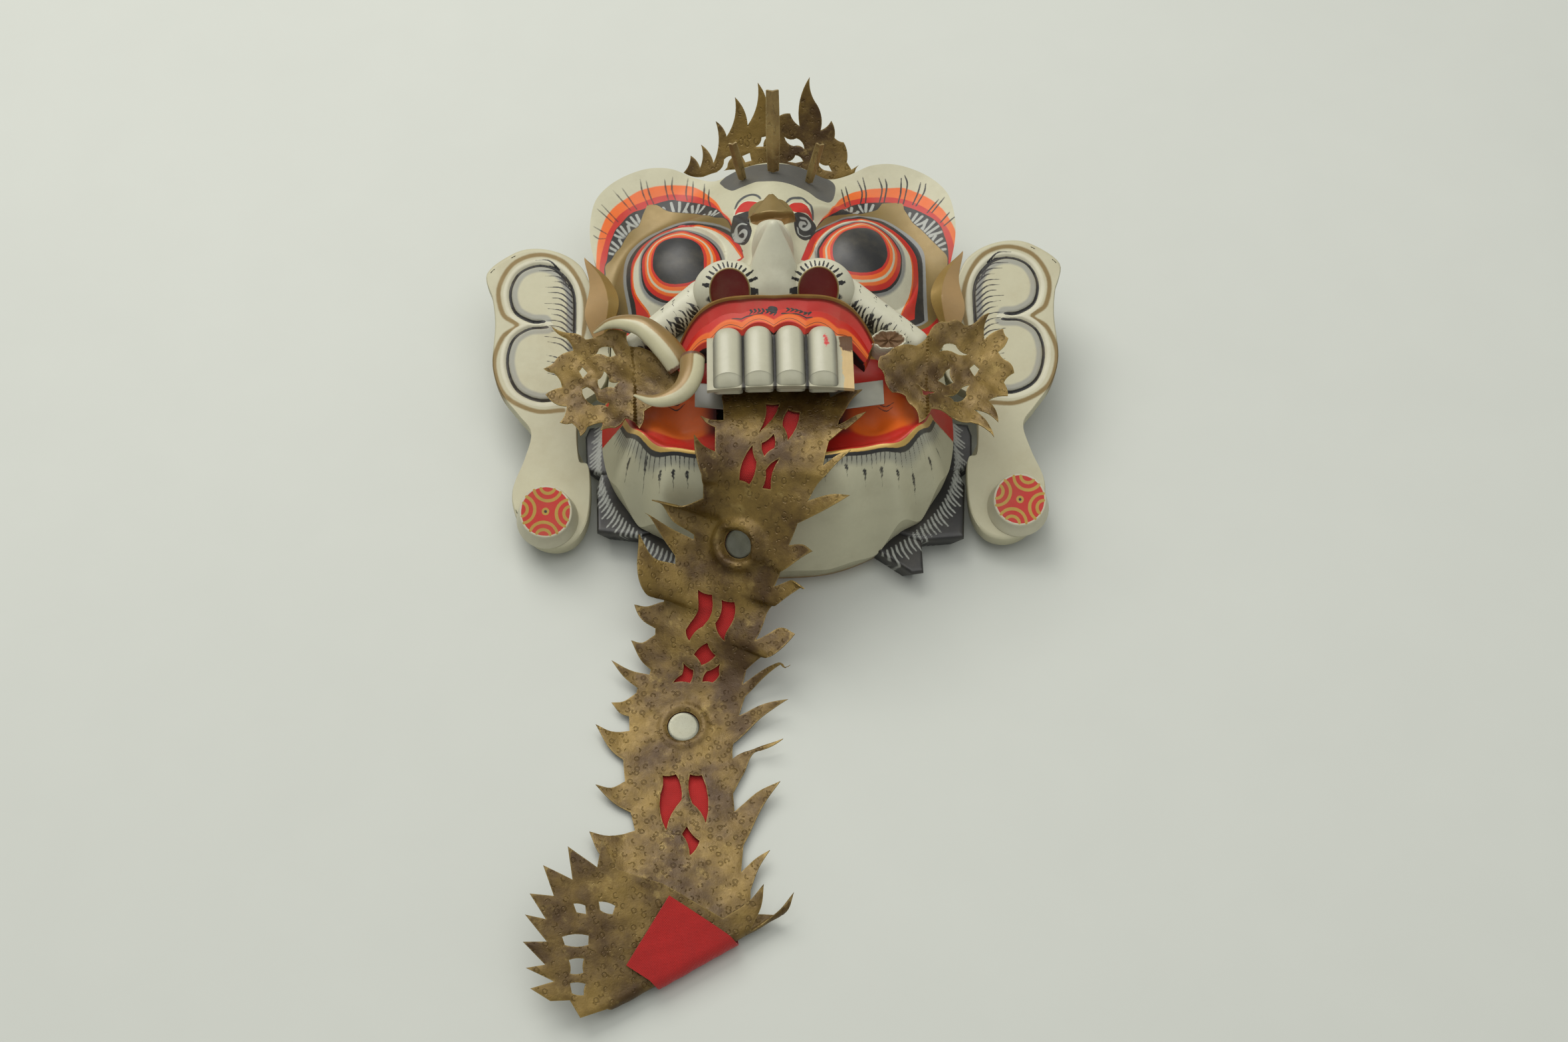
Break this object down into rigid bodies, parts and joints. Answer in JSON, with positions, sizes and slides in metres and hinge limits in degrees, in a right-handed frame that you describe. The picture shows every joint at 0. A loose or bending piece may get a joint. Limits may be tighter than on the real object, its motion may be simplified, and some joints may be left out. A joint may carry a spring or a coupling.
{
  "type": "rangda mask",
  "caption": "Carved and painted wooden demon mask with bulging eyes, bared teeth, tusks, board ears, pierced gilded leather crest and rosettes, and a long flame-edged leather tongue.",
  "frame": {"origin": "under the middle of the whole object's bounding box, on the plane that the rear rim lies on", "axes": "+Z out of the face, which lies on its back; +Y from chin to crown; the tongue runs out along -Y; -X is the viewer's left, where the tusks are"},
  "size_m": [0.368, 0.6062, 0.151],
  "materials": {
    "painted_wood": "hand painted, satin",
    "ear_paint": "hand painted, satin",
    "plug_paint": "hand painted with gold pattern",
    "tusk_paint": "painted, satin",
    "leaf_gilding": "gilded, worn",
    "gilded_leather": "gilded and punched",
    "red_cloth": "plain woven cloth",
    "mirror_glass": "old mirror glass",
    "pale_strip": "pale, glossy"
  },
  "bodies": {
    "root": {"face": "painted_wood", "ear_left": "ear_paint", "ear_right": "ear_paint", "ear_plug_left": "plug_paint", "ear_plug_right": "plug_paint", "temple_leaf_left": "leaf_gilding", "temple_leaf_right": "leaf_gilding", "tusk_upper": "tusk_paint", "tusk_lower": "tusk_paint", "crest": "gilded_leather", "crest_spike_left": "gilded_leather", "crest_spike_mid": "gilded_leather", "crest_spike_right": "gilded_leather", "rosette_left": "gilded_leather", "rosette_right": "gilded_leather", "tongue": "gilded_leather", "tongue_lining": "red_cloth", "mirror_upper": "mirror_glass", "mirror_lower": "mirror_glass", "mouth_strip": "pale_strip"}
  },
  "joints": []
}
